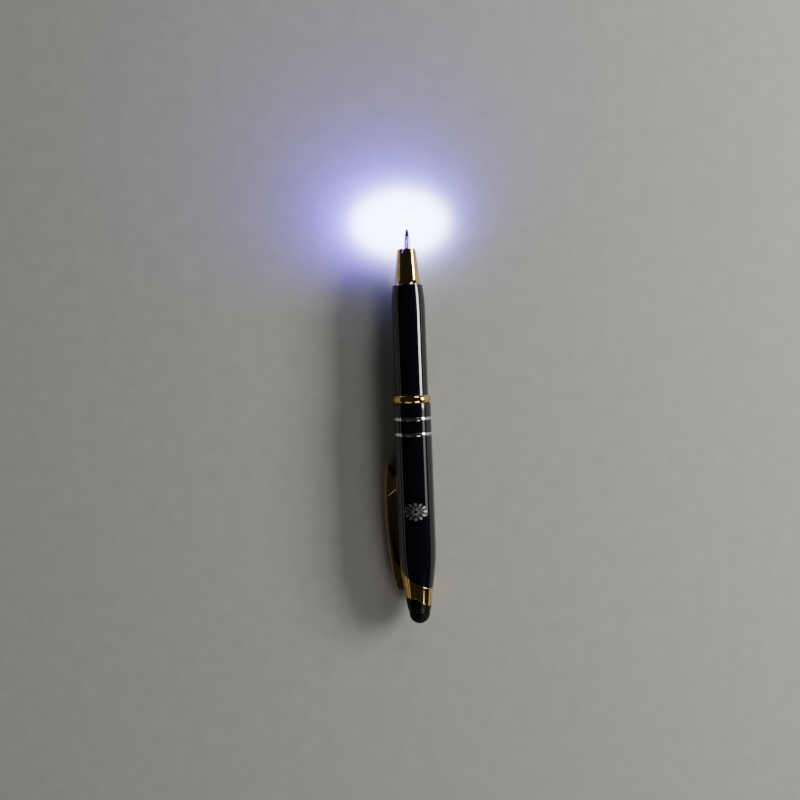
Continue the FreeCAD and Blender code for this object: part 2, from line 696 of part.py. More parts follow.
turned(
    "refill_tip",
    [
        ("point_channel_r", "point_plug_z"),
        ("tube_bore_r", "point_plug_z"),
        ("tube_bore_r", "tube_front_z"),
        ("tube_r", "tube_front_z"),
        ("tube_r", "point_body_z"),
        ("point_cone_r", "point_cone_z"),
        ("point_r", "point_front_z"),
        ("ball_r", "point_front_z"),
        ("ball_r", "ball_seat_z"),
        ("point_channel_r", "ball_seat_z"),
    ],
    line=refill_line,
)
turned("refill_tube", tube("tube_bore_r", "tube_r", "tube_rear_z", "tube_front_z"), line=refill_line)
turned("refill_ink", tube(AXIS, "tube_bore_r", "ink_rear_z", "ink_front_z"), line=refill_line)
turned("ink_follower", tube(AXIS, "tube_bore_r", "follower_rear_z", "ink_rear_z"), line=refill_line)

refill_carrier = turned(
    "refill_carrier",
    tube(AXIS, "carrier_r", "carrier_rear_z", "carrier_front_z"),
)
bore(refill_carrier, "refill_offset", "carrier_bore_r", "tube_rear_z", "carrier_front_z")
across(
    refill_carrier,
    [
        ("pin_in", "pin_z - pin_r"),
        ("pin_out", "pin_z - pin_r"),
        ("pin_out", "pin_z + pin_r"),
        ("pin_in", "pin_z + pin_r"),
    ],
    "pin_r + pin_r",
)

toward_side = FreeCAD.Vector(0, 1, 0)
cam_pin = rod("pin", "pin_r", "pin_out - pin_in", at())
piece(
    cam_pin,
    "cam_pin",
    pen_line.multiply(
        at(x=size["pin_in"], z=size["pin_z"], turned_about=toward_side, degrees=quarter_turn)
    ),
)

coil(
    "return_spring",
    "spring_mean_r",
    "spring_wire_r",
    "spring_pitch",
    "spring_high",
    "spring_start_z",
)

# Rotor: turning it drives the cam pin along a half turn of spiral slot.
rotor_foot = at(z=size["rotor_rear_z"])
rotor_blank = rod("rotor_blank", "rotor_r", "rotor_front_z - rotor_rear_z", rotor_foot)
rotor_core = rod("rotor_core", "rotor_bore_r", "rotor_front_z - rotor_rear_z", rotor_foot)
slot_pitch = size["stroke"] + size["stroke"]
slot_radius = (size["rotor_r"] + size["rotor_bore_r"]) / 2
slot_depth = size["rotor_r"] - size["rotor_bore_r"] + size["cutter_past"]
slot_wide = size["cam_slot_half"] + size["cam_slot_half"]
slot_rear = size["pin_z"] - size["stroke"] - size["cam_slot_half"]
slot_front = size["pin_z"] + size["cam_slot_half"]
turn_per_mm = half_turn / size["stroke"]
slope = math.degrees(math.atan2(slot_pitch, 2 * math.pi * slot_radius))
section = Part.makePlane(slot_depth, slot_wide)
section.translate(FreeCAD.Vector(-slot_depth / 2, -slot_wide / 2, 0))
section.rotate(FreeCAD.Vector(), FreeCAD.Vector(1, 0, 0), quarter_turn + slope)
section.translate(FreeCAD.Vector(slot_radius, 0, 0))
helix = Part.makeHelix(slot_pitch, slot_front - slot_rear, slot_radius)
slot = Part.Wire(helix.Edges).makePipeShell([section.OuterWire], True, True)
slot_turn = (slot_rear - size["pin_z"]) * turn_per_mm
slot.rotate(FreeCAD.Vector(), FreeCAD.Vector(0, 0, 1), slot_turn)
slot.translate(FreeCAD.Vector(0, 0, slot_rear))
spiral_slot = doc.addObject("Part::Feature", "spiral_slot")
spiral_slot.Shape = slot
rotor_tube = doc.addObject("Part::Cut", "rotor_hollow")
rotor_tube.Base = rotor_blank
rotor_tube.Tool = rotor_core
rotor = doc.addObject("Part::Cut", "rotor_slotted")
rotor.Base = rotor_tube
rotor.Tool = spiral_slot
piece(rotor, "rotor_tube", pen_line)

coupler = turned(
    "rotor_coupler",
    [
        ("coupler_bore_r", "coupler_front_z"),
        ("coupler_r", "coupler_front_z"),
        ("coupler_r", "collar_front_z"),
        ("collar_r", "collar_front_z"),
        ("collar_r", "coupler_rear_z"),
        ("rotor_r", "coupler_rear_z"),
        ("rotor_r", "rotor_front_z"),
        ("coupler_bore_r", "rotor_front_z"),
    ],
)
for inner, outer, rear, front in (
    ("seal_groove_r", "bush_r", "seal_groove_rear_z", "seal_groove_front_z"),
    ("snap_in_r", "bush_r", "snap_seat_rear_z", "snap_seat_front_z"),
):
    turn(coupler, tube(inner, outer, rear, front), cut=True)

seal = doc.addObject("Part::Torus", "seal")
seal.setExpression("Radius1", bound("seal_ring_r"))
seal.setExpression("Radius2", bound("seal_cord_r"))
piece(seal, "friction_ring", pen_line.multiply(at(z=size["seal_mid_z"])))

snap_ring = turned("snap_ring", tube("snap_in_r", "snap_out_r", "snap_rear_z", "snap_front_z"))
across(
    snap_ring,
    [
        ("coupler_bore_r", "snap_rear_z"),
        ("upper_r", "snap_rear_z"),
        ("upper_r", "snap_front_z"),
        ("coupler_bore_r", "snap_front_z"),
    ],
    "snap_gap",
)

# Upper barrel: pulls off the rotor to reach the cells.
def cut_joint(body, past):
    """Cuts along the slanted joint between barrel and end cap; past is the side to remove."""
    across(
        body,
        [
            ("slant_reach", "slant_high_z"),
            ("slant_reach", past),
            ("- slant_reach", past),
            ("- slant_reach", "slant_low_z"),
        ],
        "cut_wide",
    )


def cut_tail(body, past):
    """Cuts along the end cap's rear edge, which is level on the clip side and falls away from it."""
    across(
        body,
        [
            ("slant_reach", "tail_z"),
            ("slant_reach", past),
            ("- tail_far", past),
            ("- tail_far", "tail_far_z"),
            ("- tail_fall", "tail_fall_z"),
            ("- tail_knee", "tail_z"),
        ],
        "cut_wide",
        arcs={4: ("tail_knee_curve", 1)},
    )


upper_barrel = turned(
    "upper_barrel",
    [
        ("upper_bore_r", "upper_front_z"),
        ("upper_r", "upper_front_z"),
        ("upper_r", "upper_turn_z"),
        ("upper_cone_r", "upper_cone_z"),
        ("barrel_tail_r", "barrel_tail_z"),
        ("upper_rear_bore_r", "barrel_tail_z"),
        ("upper_rear_bore_r", "upper_step_z"),
        ("upper_bore_r", "upper_step_z"),
    ],
    arcs={2: ("upper_turn_r", -1)},
    line=clip_line,
)
for step in ("", " - trim_step"):
    turn(
        upper_barrel,
        tube("trim_seat_r", "slant_reach", "trim_rear_z" + step, "trim_front_z" + step),
        cut=True,
    )
cut_joint(upper_barrel, "beyond_z")

for label, step in (("trim_ring_front", ""), ("trim_ring_rear", " - trim_step")):
    turned(
        label,
        [
            ("trim_seat_r", "trim_rear_z" + step),
            ("trim_edge_r", "trim_rear_z" + step),
            ("trim_edge_r", "trim_front_z" + step),
            ("trim_seat_r", "trim_front_z" + step),
        ],
        arcs={1: ("trim_crown_r", 1)},
    )

turned("rotor_bush", tube("bush_bore_r", "bush_r", "bush_rear_z", "bush_front_z"))

# Lamp supply: three button cells in a tray, a wiper at the front and a spring behind.
turned("battery_tray", tube("tray_bore_r", "bush_r", "tray_rear_z", "holder_rear_z"))
turned("contact_holder", tube("holder_bore_r", "bush_r", "holder_rear_z", "holder_front_z"))
turned(
    "contact_wiper",
    [
        (AXIS, "plate_rear_z"),
        ("plate_r", "plate_rear_z"),
        ("plate_r", "holder_rear_z"),
        ("post_r", "holder_rear_z"),
        ("post_r", "post_front_z"),
        (AXIS, "post_front_z"),
    ],
)
cell_front = "plate_rear_z"
for label in ("button_cell_front", "button_cell_middle", "button_cell_rear"):
    cell_rear = cell_front + " - cell_high"
    turned(
        label,
        [
            (AXIS, cell_rear),
            ("cell_rim_r", cell_rear),
            ("cell_rim_r", cell_rear + " + cell_step"),
            ("cell_r", cell_rear + " + cell_step"),
            ("cell_r", cell_front),
            (AXIS, cell_front),
        ],
    )
    cell_front = cell_rear
coil(
    "battery_spring",
    "battery_spring_r",
    "battery_wire_r",
    "battery_spring_pitch",
    "battery_spring_high",
    "battery_spring_z",
)

# End cap: both ends of its skin are slanted, and the clip's tongue sits in its side.
end_cap = new_body("end_cap")
turn(
    end_cap,
    [
        (AXIS, "cap_skirt_z"),
        ("cap_skirt_r", "cap_skirt_z"),
        ("upper_cone_r", "upper_cone_z"),
        ("cone_end_r", "cone_end_z"),
        (AXIS, "cone_end_z"),
    ],
    arcs={1: ("upper_turn_r", -1)},
)
cut_joint(end_cap, "ahead_z")
cut_tail(end_cap, "beyond_z")
turn(end_cap, tube(AXIS, "cap_spigot_r", "stylus_spigot_z", "cap_spigot_z"))
bore(end_cap, AXIS, "cap_bore_r", "beyond_z", "cap_bore_z")
across(
    end_cap,
    [
        ("clip_slot_in_r", "clip_slot_rear_z"),
        ("clip_slot_out_r", "clip_slot_rear_z"),
        ("clip_slot_out_r", "clip_slot_front_z"),
        ("clip_slot_in_r", "clip_slot_front_z"),
    ],
    "clip_slot_wide",
)
piece(end_cap, "end_cap", clip_line)

# Stylus: a collar, a metal core and a hollow rubber dome.
stylus_collar = new_body("stylus_collar")
turn(
    stylus_collar,
    [
        (AXIS, "stylus_spigot_z"),
        ("stylus_top_r", "stylus_spigot_z"),
        ("stylus_low_r", "stylus_low_z"),
        ("stylus_rear_r", "stylus_rear_z"),
        ("peg_r", "stylus_rear_z"),
        ("peg_r", "peg_z"),
        (AXIS, "peg_z"),
    ],
)
cut_tail(stylus_collar, "ahead_z")
turn(stylus_collar, tube(AXIS, "stylus_spigot_r", "stylus_rear_z", "stylus_spigot_z"))
bore(stylus_collar, AXIS, "core_r", "beyond_z", "core_front_z")
piece(stylus_collar, "stylus_collar", clip_line)

turned("stylus_core", tube(AXIS, "core_r", "core_rear_z", "core_front_z"))

turned(
    "stylus_dome",
    [
        ("peg_r", "stylus_rear_z"),
        ("dome_r", "stylus_rear_z"),
        ("dome_r", "dome_mid_z"),
        (AXIS, AXIS),
        (AXIS, "dome_skin_z"),
        ("dome_bore_r", "dome_mid_z"),
        ("peg_r", "dome_mid_z"),
    ],
    arcs={2: ("dome_r", -1), 4: ("dome_bore_r", 1)},
)

# Clip: one formed strip with a foot pad near its tip and a tongue in the end cap.
clip = new_body("clip")
across(
    clip,
    [
        ("clip_tip_r", "clip_tip_z"),
        ("clip_out_r", "clip_mid_z"),
        ("clip_bend_r", "clip_bend_z"),
        ("clip_heel_r", "clip_heel_z"),
        ("clip_back_r", "clip_back_z"),
        ("tongue_r", "tongue_rear_z"),
        ("tongue_r", "tongue_front_z"),
        ("root_r", "tongue_front_z"),
        ("inner_bend_r", "inner_bend_z"),
        ("inner_mid_r", "clip_mid_z"),
        ("inner_mid_r", "inner_end_z"),
        ("pad_r", "pad_rear_z"),
        ("pad_r", "pad_front_z"),
        ("lip_r", "lip_z"),
    ],
    "clip_wide",
    arcs={
        0: ("clip_front_curve", -1),
        1: ("clip_rear_curve", -1),
        3: ("clip_heel_curve", -1),
        7: ("root_curve", -1),
        8: ("inner_rear_curve", 1),
        12: ("pad_curve", 1),
    },
    cut=False,
)
for way in ("", "- "):
    across(
        clip,
        [
            (way + "tip_half", "clip_tip_z"),
            (way + "tip_half", "tip_past_z"),
            (way + "tip_past", "tip_past_z"),
            (way + "tip_past", "tip_taper_z"),
            (way + "clip_half", "tip_taper_z"),
        ],
        "clip_reach",
        role="YZ_Plane",
        arcs={4: ("tip_side_curve", -1 if way else 1)},
    )
piece(clip, "clip", clip_line)

doc.recompute()
for thing in doc.Objects:
    bad = [word for word in thing.State if word in ("Invalid", "Error")]
    if bad:
        raise ValueError(f"{thing.Label}: {bad}")
for thing in pieces:
    if thing.Shape.isNull() or not thing.Shape.isValid() or not thing.Shape.Solids:
        raise ValueError(f"{thing.Label} has no sound shape")
    thing.Shape.exportStep(f"parts/{thing.Label}.step")
print(len(pieces), "pieces")
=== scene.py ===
import json
import math

import bmesh
import bpy
from mathutils import Matrix, Vector


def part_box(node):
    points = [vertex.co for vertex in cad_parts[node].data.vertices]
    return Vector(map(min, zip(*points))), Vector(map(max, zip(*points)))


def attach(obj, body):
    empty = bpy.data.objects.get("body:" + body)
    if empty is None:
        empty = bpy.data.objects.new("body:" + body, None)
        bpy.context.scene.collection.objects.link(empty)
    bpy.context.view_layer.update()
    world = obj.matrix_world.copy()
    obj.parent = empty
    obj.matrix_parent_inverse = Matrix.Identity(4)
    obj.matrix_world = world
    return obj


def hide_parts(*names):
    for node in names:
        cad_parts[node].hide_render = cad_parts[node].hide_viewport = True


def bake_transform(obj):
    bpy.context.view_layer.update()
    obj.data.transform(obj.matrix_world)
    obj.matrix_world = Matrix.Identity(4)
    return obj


# Ultraviolet note-checking pen, lying on a pale table with its lamp lit.
# Lengths are in millimetres until a point is placed. A station is the distance along the pen from
# the end of the stylus dome, and "across" is the distance from the pen axis toward the clip.

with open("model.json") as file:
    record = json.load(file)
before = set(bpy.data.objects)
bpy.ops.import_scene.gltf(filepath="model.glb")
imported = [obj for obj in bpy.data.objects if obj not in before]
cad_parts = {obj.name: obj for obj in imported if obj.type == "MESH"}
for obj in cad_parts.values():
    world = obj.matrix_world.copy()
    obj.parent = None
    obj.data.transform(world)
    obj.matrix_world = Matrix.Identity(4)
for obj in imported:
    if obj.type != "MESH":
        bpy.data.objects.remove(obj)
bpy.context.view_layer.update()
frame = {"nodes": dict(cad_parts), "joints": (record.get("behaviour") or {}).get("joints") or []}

MM = 0.001
FULL_TURN = 2 * math.pi
QUARTER_TURN = math.pi / 2
SIDES = 160  # faces round the pen
SUPPORT = 0.05  # from a rounded edge to the line that keeps the face beside it flat
SHARP_EDGE = math.radians(40)

rear_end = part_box("stylus_dome")[0].y
ring_low, ring_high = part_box("trim_ring_front")
axis_x = (ring_low.x + ring_high.x) / 2
axis_z = (ring_low.z + ring_high.z) / 2
hinge = next(joint for joint in frame["joints"] if joint["name"] == "clip_hinge")
clip_side = Vector(hinge["axis"])
clip_out = Vector((-clip_side.z, 0, clip_side.x))


def place(across, beside, station):
    """The point across toward the clip, beside that direction, and along the pen."""
    middle = Vector((axis_x, rear_end + station * MM, axis_z))
    return middle + (clip_out * across + clip_side * beside) * MM


# ---------------------------------------------------------------- outlines


def shortest(sweep):
    """The same turn within half a turn either way."""
    return (sweep + math.pi) % FULL_TURN - math.pi


def bow(start, end, radius, side, steps=10):
    """Points between start and end on an arc; side +1 bulges to the right of the way."""
    start, end = Vector(start), Vector(end)
    chord = end - start
    left = Vector((-chord.y, chord.x)).normalized()
    depth = math.sqrt(max(radius**2 - (chord.length / 2) ** 2, 0))
    centre = (start + end) / 2 + left * depth * side
    first = math.atan2(*(start - centre).yx)
    sweep = shortest(math.atan2(*(end - centre).yx) - first)
    return [
        (
            centre.x + radius * math.cos(first + sweep * step / steps),
            centre.y + radius * math.sin(first + sweep * step / steps),
        )
        for step in range(1, steps)
    ]


def rounded(corners, steps=4):
    """An outline of (radius, station) corners; a third number rounds that corner."""
    points = []
    for number, corner in enumerate(corners):
        here = Vector(corner[:2])
        if len(corner) < 3:
            points.append(tuple(here))
            continue
        rounding = corner[2]
        before = (Vector(corners[number - 1][:2]) - here).normalized()
        after = (Vector(corners[(number + 1) % len(corners)][:2]) - here).normalized()
        half = before.angle(after) / 2
        reach = rounding / math.tan(half)
        centre = here + (before + after).normalized() * rounding / math.sin(half)
        start, end = here + before * reach, here + after * reach
        first = math.atan2(*(start - centre).yx)
        sweep = shortest(math.atan2(*(end - centre).yx) - first)
        points.append(tuple(start + before * SUPPORT))
        for step in range(steps + 1):
            angle = first + sweep * step / steps
            points.append(
                (centre.x + rounding * math.cos(angle), centre.y + rounding * math.sin(angle))
            )
        points.append(tuple(end + after * SUPPORT))
    return points


# ---------------------------------------------------------------- meshes


def built(name, mesh):
    """Makes the object of a finished bmesh, smooth but for its real edges."""
    bmesh.ops.recalc_face_normals(mesh, faces=mesh.faces)
    data = bpy.data.meshes.new(name)
    mesh.to_mesh(data)
    mesh.free()
    data.polygons.foreach_set("use_smooth", [True] * len(data.polygons))
    data.set_sharp_from_angle(angle=SHARP_EDGE)
    thing = bpy.data.objects.new(name, data)
    bpy.context.scene.collection.objects.link(thing)
    return thing


def join_rings(mesh, rings, closed=True):
    """Faces between neighbouring rings; a ring of one vertex is a point on the axis."""
    sides = max(len(ring) for ring in rings)
    pairs = list(zip(rings, rings[1:] + rings[:1]))
    for ring, following in pairs if closed else pairs[:-1]:
        if len(ring) == 1 and len(following) == 1:
            continue
        for step in range(sides):
            beyond = step + 1
            corners = [
                ring[step % len(ring)],
                ring[beyond % len(ring)],
                following[beyond % len(following)],
                following[step % len(following)],
            ]
            mesh.faces.new(list(dict.fromkeys(corners)))


def lathe(name, outline, bend=None):
    """Turns an outline round the pen axis; bend moves each (radius, station) by its angle."""
    mesh = bmesh.new()
    rings = []
    for radius, station in outline:
        if radius == 0:
            rings.append([mesh.verts.new(place(0, 0, station))])
            continue
        ring = []
        for step in range(SIDES):
            angle = FULL_TURN * step / SIDES
            reach, along = bend(radius, station, angle) if bend else (radius, station)
            spot = place(reach * math.cos(angle), reach * math.sin(angle), along)
            ring.append(mesh.verts.new(spot))
        rings.append(ring)
    join_rings(mesh, rings)
    return built(name, mesh)


def finished(thing, body, slot, material, *nodes):
    """Gives a piece its material, its body and the CAD nodes that it stands for."""
    thing.data.materials.clear()
    thing.data.materials.append(material)
    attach(thing, body)
    if nodes:
        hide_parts(*nodes)
    return thing


# ---------------------------------------------------------------- materials


class Finish:
    """A node material: a Principled shader with its colour, roughness and relief from noise."""

    def __init__(self, name, colour, metallic=0.0, **constants):
        self.material = bpy.data.materials.new(name)
        self.material.use_nodes = True
        self.tree = self.material.node_tree
        self.shader = self.tree.nodes["Principled BSDF"]
        self.shader.inputs["Base Color"].default_value = (*colour, 1)
        self.shader.inputs["Metallic"].default_value = metallic
        for socket, value in constants.items():
            self.shader.inputs[socket.replace("_", " ")].default_value = value
        self.place = self.tree.nodes.new("ShaderNodeTexCoord").outputs["Object"]

    def link(self, start, end):
        self.tree.links.new(start, end)

    def noise(self, grain, stretch=(1, 1, 1), detail=4.0):
        """Noise whose features are about grain millimetres across."""
        spread = self.tree.nodes.new("ShaderNodeMapping")
        spread.inputs["Scale"].default_value = stretch
        self.link(self.place, spread.inputs["Vector"])
        cloud = self.tree.nodes.new("ShaderNodeTexNoise")
        cloud.inputs["Scale"].default_value = 1 / (grain * MM)
        cloud.inputs["Detail"].default_value = detail
        self.link(spread.outputs["Vector"], cloud.inputs["Vector"])
        return cloud.outputs["Fac"]

    def specks(self, spacing, size):
        """Small dots, 1 inside and 0 outside, scattered about spacing millimetres apart."""
        cells = self.tree.nodes.new("ShaderNodeTexVoronoi")
        cells.inputs["Scale"].default_value = 1 / (spacing * MM)
        self.link(self.place, cells.inputs["Vector"])
        return self.ramp(cells.outputs["Distance"], size, size / 2, 0.0, 1.0)

    def ramp(self, value, low, high, to_low, to_high):
        scale = self.tree.nodes.new("ShaderNodeMapRange")
        self.link(value, scale.inputs["Value"])
        for socket, number in (
            ("From Min", low),
            ("From Max", high),
            ("To Min", to_low),
            ("To Max", to_high),
        ):
            scale.inputs[socket].default_value = number
        return scale.outputs["Result"]

    def roughness(self, cloud, smooth, rough, low=0.3, high=0.7):
        self.link(self.ramp(cloud, low, high, smooth, rough), self.shader.inputs["Roughness"])
        return self

    def colours(self, cloud, first, second, low=0.3, high=0.7):
        """The base colour goes from first to second with the noise."""
        mix = self.tree.nodes.new("ShaderNodeMix")
        mix.data_type = "RGBA"
        self.link(self.ramp(cloud, low, high, 0.0, 1.0), mix.inputs["Factor"])
        mix.inputs["A"].default_value = (*first, 1)
        mix.inputs["B"].default_value = (*second, 1)
        self.link(mix.outputs["Result"], self.shader.inputs["Base Color"])
        return self

    def relief(self, cloud, height, strength=1.0):
        """Bumps of the given height in millimetres."""
        bump = self.tree.nodes.new("ShaderNodeBump")
        bump.inputs["Distance"].default_value = height * MM
        bump.inputs["Strength"].default_value = strength
        self.link(cloud, bump.inputs["Height"])
        self.link(bump.outputs["Normal"], self.shader.inputs["Normal"])
        return self


def lacquer():
    """Glossy black lacquer with a soft orange peel and a little dust."""
    finish = Finish(
        "black_lacquer",
        (0.003, 0.003, 0.004),
        Coat_Weight=1.0,
        Coat_Roughness=0.03,
        Coat_IOR=1.62,
        Specular_IOR_Level=0.05,
    )
    dust = finish.specks(spacing=1.3, size=0.035)
    finish.colours(dust, (0.0025, 0.0025, 0.0060), (0.05, 0.05, 0.05), 0.0, 1.0)
    finish.roughness(finish.noise(0.9, stretch=(1, 0.2, 1)), 0.10, 0.24)
    return finish.relief(finish.noise(1.6, detail=1.0), 0.0012).material


def gold(name="gold_plate", tone=(0.84, 0.64, 0.27), deep=(0.74, 0.52, 0.19)):
    """Polished gold plate, slightly uneven, with fine rub marks."""
    finish = Finish(name, tone, metallic=1.0)
    finish.colours(finish.noise(2.5), tone, deep)
    finish.roughness(finish.noise(0.35, stretch=(1, 0.15, 1)), 0.05, 0.12)
    return finish.relief(finish.noise(0.8, detail=2.0), 0.0010).material


def chrome():
    finish = Finish("chrome_trim", (0.88, 0.89, 0.91), metallic=1.0)
    finish.colours(finish.noise(1.2), (0.90, 0.91, 0.93), (0.78, 0.79, 0.82))
    finish.roughness(finish.noise(0.3, stretch=(1, 4, 1)), 0.05, 0.14)
    return finish.relief(finish.noise(0.6, detail=2.0), 0.0012).material


def turned_metal(name, tone, deep, smooth=0.22, rough=0.42):
    """Bare metal with turning marks round the pen axis."""
    finish = Finish(name, tone, metallic=1.0)
    finish.colours(finish.noise(1.5), tone, deep)
    marks = finish.noise(0.12, stretch=(0.1, 1, 0.1), detail=2.0)
    finish.roughness(marks, smooth, rough)
    return finish.relief(marks, 0.004).material


def moulded(name, tone, deep, smooth=0.45, rough=0.6, grain=0.12, height=0.006, **constants):
    """Moulded plastic or rubber with a fine grain."""
    finish = Finish(name, tone, **constants)
    finish.colours(finish.noise(grain * 6), tone, deep)
    finish.roughness(finish.noise(grain * 3), smooth, rough)
    return finish.relief(finish.noise(grain, detail=3.0), height).material


def dusty_rubber(name):
    """Matte black rubber with pale lint."""
    finish = Finish(name, (0.003, 0.003, 0.003), Specular_IOR_Level=0.15)
    finish.colours(finish.specks(0.9, 0.025), (0.003, 0.003, 0.003), (0.05, 0.05, 0.05), 0.0, 1.0)
    finish.roughness(finish.noise(0.5), 0.55, 0.75)
    return finish.relief(finish.noise(0.1, detail=3.0), 0.006).material


def glassy(name, tone, glow, strength, clear=0.8):
    """Clear plastic lit from inside."""
    finish = Finish(
        name,
        tone,
        Transmission_Weight=clear,
        IOR=1.49,
        Emission_Color=(*glow, 1),
        Emission_Strength=strength,
    )
    finish.roughness(finish.noise(0.4), 0.03, 0.12)
    return finish.relief(finish.noise(0.5, detail=2.0), 0.002).material


VIOLET = (0.22, 0.12, 1.0)
black_lacquer = lacquer()
gold_plate = gold()
clip_gold = gold("clip_gold", (0.88, 0.60, 0.33), (0.78, 0.48, 0.24))
chrome_trim = chrome()
raw_brass = turned_metal("raw_brass", (0.78, 0.58, 0.28), (0.62, 0.43, 0.18))
nickel = turned_metal("nickel_silver", (0.74, 0.72, 0.68), (0.62, 0.60, 0.56), 0.28, 0.44)
refill_steel = turned_metal("refill_steel", (0.68, 0.69, 0.71), (0.55, 0.56, 0.58))
spring_steel = turned_metal("spring_steel", (0.56, 0.57, 0.59), (0.40, 0.41, 0.43), 0.2, 0.35)
cell_steel = turned_metal("cell_steel", (0.75, 0.76, 0.77), (0.62, 0.63, 0.64), 0.16, 0.3)
carbide = turned_metal("carbide", (0.36, 0.36, 0.38), (0.28, 0.28, 0.30), 0.1, 0.2)
tinned_wire = turned_metal("tinned_wire", (0.75, 0.75, 0.76), (0.62, 0.62, 0.64))
satin_black = moulded(
    "satin_black",
    (0.002, 0.002, 0.002),
    (0.004, 0.004, 0.004),
    0.28,
    0.36,
    Specular_IOR_Level=0.15,
)
white_plastic = moulded("white_plastic", (0.80, 0.80, 0.77), (0.74, 0.73, 0.70))
black_plastic = moulded("black_plastic", (0.018, 0.018, 0.02), (0.03, 0.03, 0.032))
board_green = moulded("board_green", (0.025, 0.20, 0.09), (0.02, 0.15, 0.07), 0.25, 0.35)
chip_ceramic = moulded("chip_ceramic", (0.03, 0.03, 0.034), (0.05, 0.05, 0.052), 0.3, 0.5)
ink = moulded("ink", (0.008, 0.008, 0.016), (0.012, 0.012, 0.022), 0.05, 0.12)
# Painted shade: a dark violet colour for the end of the refill point, standing in for its shade
# and the violet reflection of the lamp.
painted_violet_shade = moulded("painted_violet_shade", (0.012, 0.003, 0.03), (0.018, 0.005, 0.05), 0.25, 0.35)
grease = moulded("grease", (0.78, 0.73, 0.55), (0.70, 0.64, 0.45), 0.1, 0.2)
nitrile = moulded("nitrile", (0.018, 0.018, 0.018), (0.028, 0.028, 0.028), 0.5, 0.65)
silicone = dusty_rubber("silicone")
clear_acrylic = glassy("clear_acrylic", (0.92, 0.92, 1.0), VIOLET, 3.0)
lamp_epoxy = glassy("lamp_epoxy", (0.6, 0.5, 1.0), VIOLET, 30.0, clear=0.3)

# ---------------------------------------------------------------- nose and lower barrel

# In these outlines a corner is (radius, station) and its third number is the radius of its edge.
BARREL_FRONT = 118.7
NOSE_TIP, NOSE_RADIUS, NOSE_BORE = 131.0, 3.43, 2.4
NOSE_SPIGOT, NOSE_SPIGOT_BORE, NOSE_SPIGOT_REAR, NOSE_STEP = 4.45, 3.65, 112.0, 120.3
FLARE = 7.0
waist, foot = (4.15, 121.9), (4.8, BARREL_FRONT)
nose = lathe(
    "nose_cone_shell",
    rounded(
        [
            (NOSE_BORE, NOSE_TIP, 0.1),
            (NOSE_RADIUS, NOSE_TIP, 0.22),
            waist,
            *bow(waist, foot, FLARE, 1),
            (*foot, 0.05),
            (NOSE_SPIGOT, BARREL_FRONT),
            (NOSE_SPIGOT, NOSE_SPIGOT_REAR),
            (NOSE_SPIGOT_BORE, NOSE_SPIGOT_REAR),
            (NOSE_SPIGOT_BORE, NOSE_STEP),
            (NOSE_BORE, NOSE_STEP),
        ]
    ),
)
finished(nose, "lower", "gold_plate", gold_plate, "nose_cone")

RING_FRONT, RING_REAR = 80.7, 77.9
LOWER_RADIUS, LOWER_BORE, NOSE_SEAT, RING_SEAT = 5.85, 5.0, 4.5, 5.45
SNAP_GROOVE, SNAP_REAR, SNAP_FRONT = 5.3, 88.9, 89.8
FRONT_CURVE = 58.55
curve_front, curve_end = (5.2, BARREL_FRONT), (LOWER_RADIUS, 110.0)
lower = lathe(
    "lower_barrel_shell",
    rounded(
        [
            (NOSE_SEAT, BARREL_FRONT, 0.05),
            (*curve_front, 0.22),
            *bow(curve_front, curve_end, FRONT_CURVE, -1, steps=14),
            curve_end,
            (LOWER_RADIUS, RING_FRONT, 0.08),
            (RING_SEAT, RING_FRONT),
            (RING_SEAT, RING_REAR),
            (LOWER_BORE, RING_REAR),
            (LOWER_BORE, SNAP_REAR),
            (SNAP_GROOVE, SNAP_REAR),
            (SNAP_GROOVE, SNAP_FRONT),
            (LOWER_BORE, SNAP_FRONT),
            (LOWER_BORE, NOSE_SPIGOT_REAR),
            (NOSE_SEAT, NOSE_SPIGOT_REAR),
        ]
    ),
)
finished(lower, "lower", "black_lacquer", black_lacquer, "lower_barrel")

RING_EDGE, RING_BULGE = 6.15, 1.9333
ring_ends = (RING_EDGE, RING_REAR), (RING_EDGE, RING_FRONT)
ring = lathe(
    "centre_ring_shell",
    rounded(
        [
            (RING_SEAT, RING_REAR),
            (*ring_ends[0], 0.06),
            *bow(*ring_ends, RING_BULGE, 1, steps=16),
            (*ring_ends[1], 0.06),
            (RING_SEAT, RING_FRONT),
        ]
    ),
)
finished(ring, "lower", "gold_plate", gold_plate, "centre_ring")

# ---------------------------------------------------------------- upper barrel and its ends

UPPER_FRONT = 77.85
UPPER_RADIUS = 6.62
TURN_STATION, TURN_RADIUS = 28.0, 70.28
CONE_STATION, CONE_RADIUS, CONE_SLOPE = 18.5, 5.975, 0.135
JOINT_MIDDLE, JOINT_SLOPE = 16.56, 0.655
TAIL_FLAT, TAIL_KNEE, TAIL_ROUND = 9.85, -0.6, 2.5
TAIL_BEND, TAIL_SLOPE = -2.54, 1.23
TRIM_FRONT, TRIM_REAR, TRIM_STEP, TRIM_SEAT = 73.15, 72.15, 5.35, 6.15
UPPER_STEP = 23.0
UPPER_BORE, REAR_BORE = 5.7, 4.4
EDGE = 0.12
SKIN_DEPTH = 3 * EDGE  # points less deep than this move with the skin
SETTLING_ROUNDS = 5


def skin(station):
    """Outer radius of the upper barrel and of the end cap that carries its line on."""
    if station >= TURN_STATION:
        return UPPER_RADIUS
    if station >= CONE_STATION:
        sag = math.sqrt(TURN_RADIUS**2 - (TURN_STATION - station) ** 2)
        return UPPER_RADIUS - TURN_RADIUS + sag
    return CONE_RADIUS - (CONE_STATION - station) * CONE_SLOPE


def joint_station(across):
    """The slanted joint between the barrel and the end cap."""
    return JOINT_MIDDLE + JOINT_SLOPE * across


